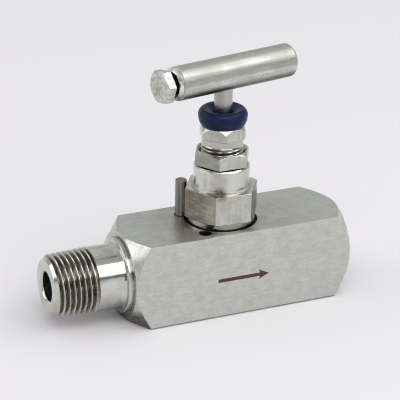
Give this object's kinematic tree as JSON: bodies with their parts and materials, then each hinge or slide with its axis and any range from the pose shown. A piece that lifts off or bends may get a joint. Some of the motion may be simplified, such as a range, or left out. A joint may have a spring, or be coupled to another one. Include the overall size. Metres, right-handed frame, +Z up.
{
  "type": "needle valve",
  "caption": "Bar-stock needle valve: square body, male and female taper pipe ends, screwed bonnet, gland, blue dust cap and T-bar handle that turns and lifts the needle.",
  "frame": {"origin": "on the underside of the square bar, on the stem axis; the flow axis is 14.3 mm above it", "axes": "+X along the flow axis towards the female port, +Z up along the stem axis towards the handle, -Y out of the face that carries the flow mark"},
  "size_m": [0.102, 0.0286, 0.0839],
  "materials": {
    "bar_steel": "fine linished stainless bar",
    "turned_steel": "fine turned stainless",
    "nut_steel": "satin stainless with drawn flats",
    "pin_steel": "dull dark stainless pin",
    "seal_metal": "soft annealed metal",
    "blue_cap": "satin dark blue moulded plastic",
    "handle_steel": "bright turned stainless bar",
    "bolt_steel": "cold headed stainless",
    "hard_steel": "ground and lapped",
    "packing": "white PTFE",
    "stem_steel": "ground stainless stem"
  },
  "bodies": {
    "valve_body": {"body": "bar_steel", "bonnet": "turned_steel", "bonnet_seal_ring": "seal_metal", "bonnet_lock_pin": "pin_steel", "packing_support_washer": "turned_steel", "packing_bottom_adapter": "packing", "packing_v_ring_1": "packing", "packing_v_ring_2": "packing", "packing_v_ring_3": "packing", "packing_top_adapter": "packing", "packing_follower": "turned_steel"},
    "needle": {"needle_tip": "hard_steel", "tip_retaining_ring": "hard_steel"},
    "spindle": {"stem": "stem_steel", "thrust_ball": "hard_steel", "handle_bar": "handle_steel", "handle_bolt": "bolt_steel"},
    "cap": {"dust_cap": "blue_cap"},
    "gland": {"gland_nut": "nut_steel", "gland_lock_nut": "nut_steel"}
  },
  "joints": [
    {"name": "needle_rise", "type": "slide", "parent": "valve_body", "child": "needle", "axis": [0, 0, 1], "range_m": [0, 0.00531]},
    {"name": "spindle_turn", "type": "hinge", "parent": "needle", "child": "spindle", "pos_m": [0, 0, 0.0783], "axis": [0, 0, 1], "range_deg": [0, 1530]},
    {"name": "gland_rise", "type": "slide", "parent": "valve_body", "child": "cap", "axis": [0, 0, 1], "range_m": [0, 0.00125]},
    {"name": "gland_turn", "type": "hinge", "parent": "cap", "child": "gland", "pos_m": [0, 0, 0.0593], "axis": [0, 0, 1], "range_deg": [0, 360]}
  ],
  "couplings": [
    {"joint": "spindle_turn", "follows": "needle_rise", "rad_per_m": 5026.5},
    {"joint": "gland_turn", "follows": "gland_rise", "rad_per_m": 5026.5}
  ]
}
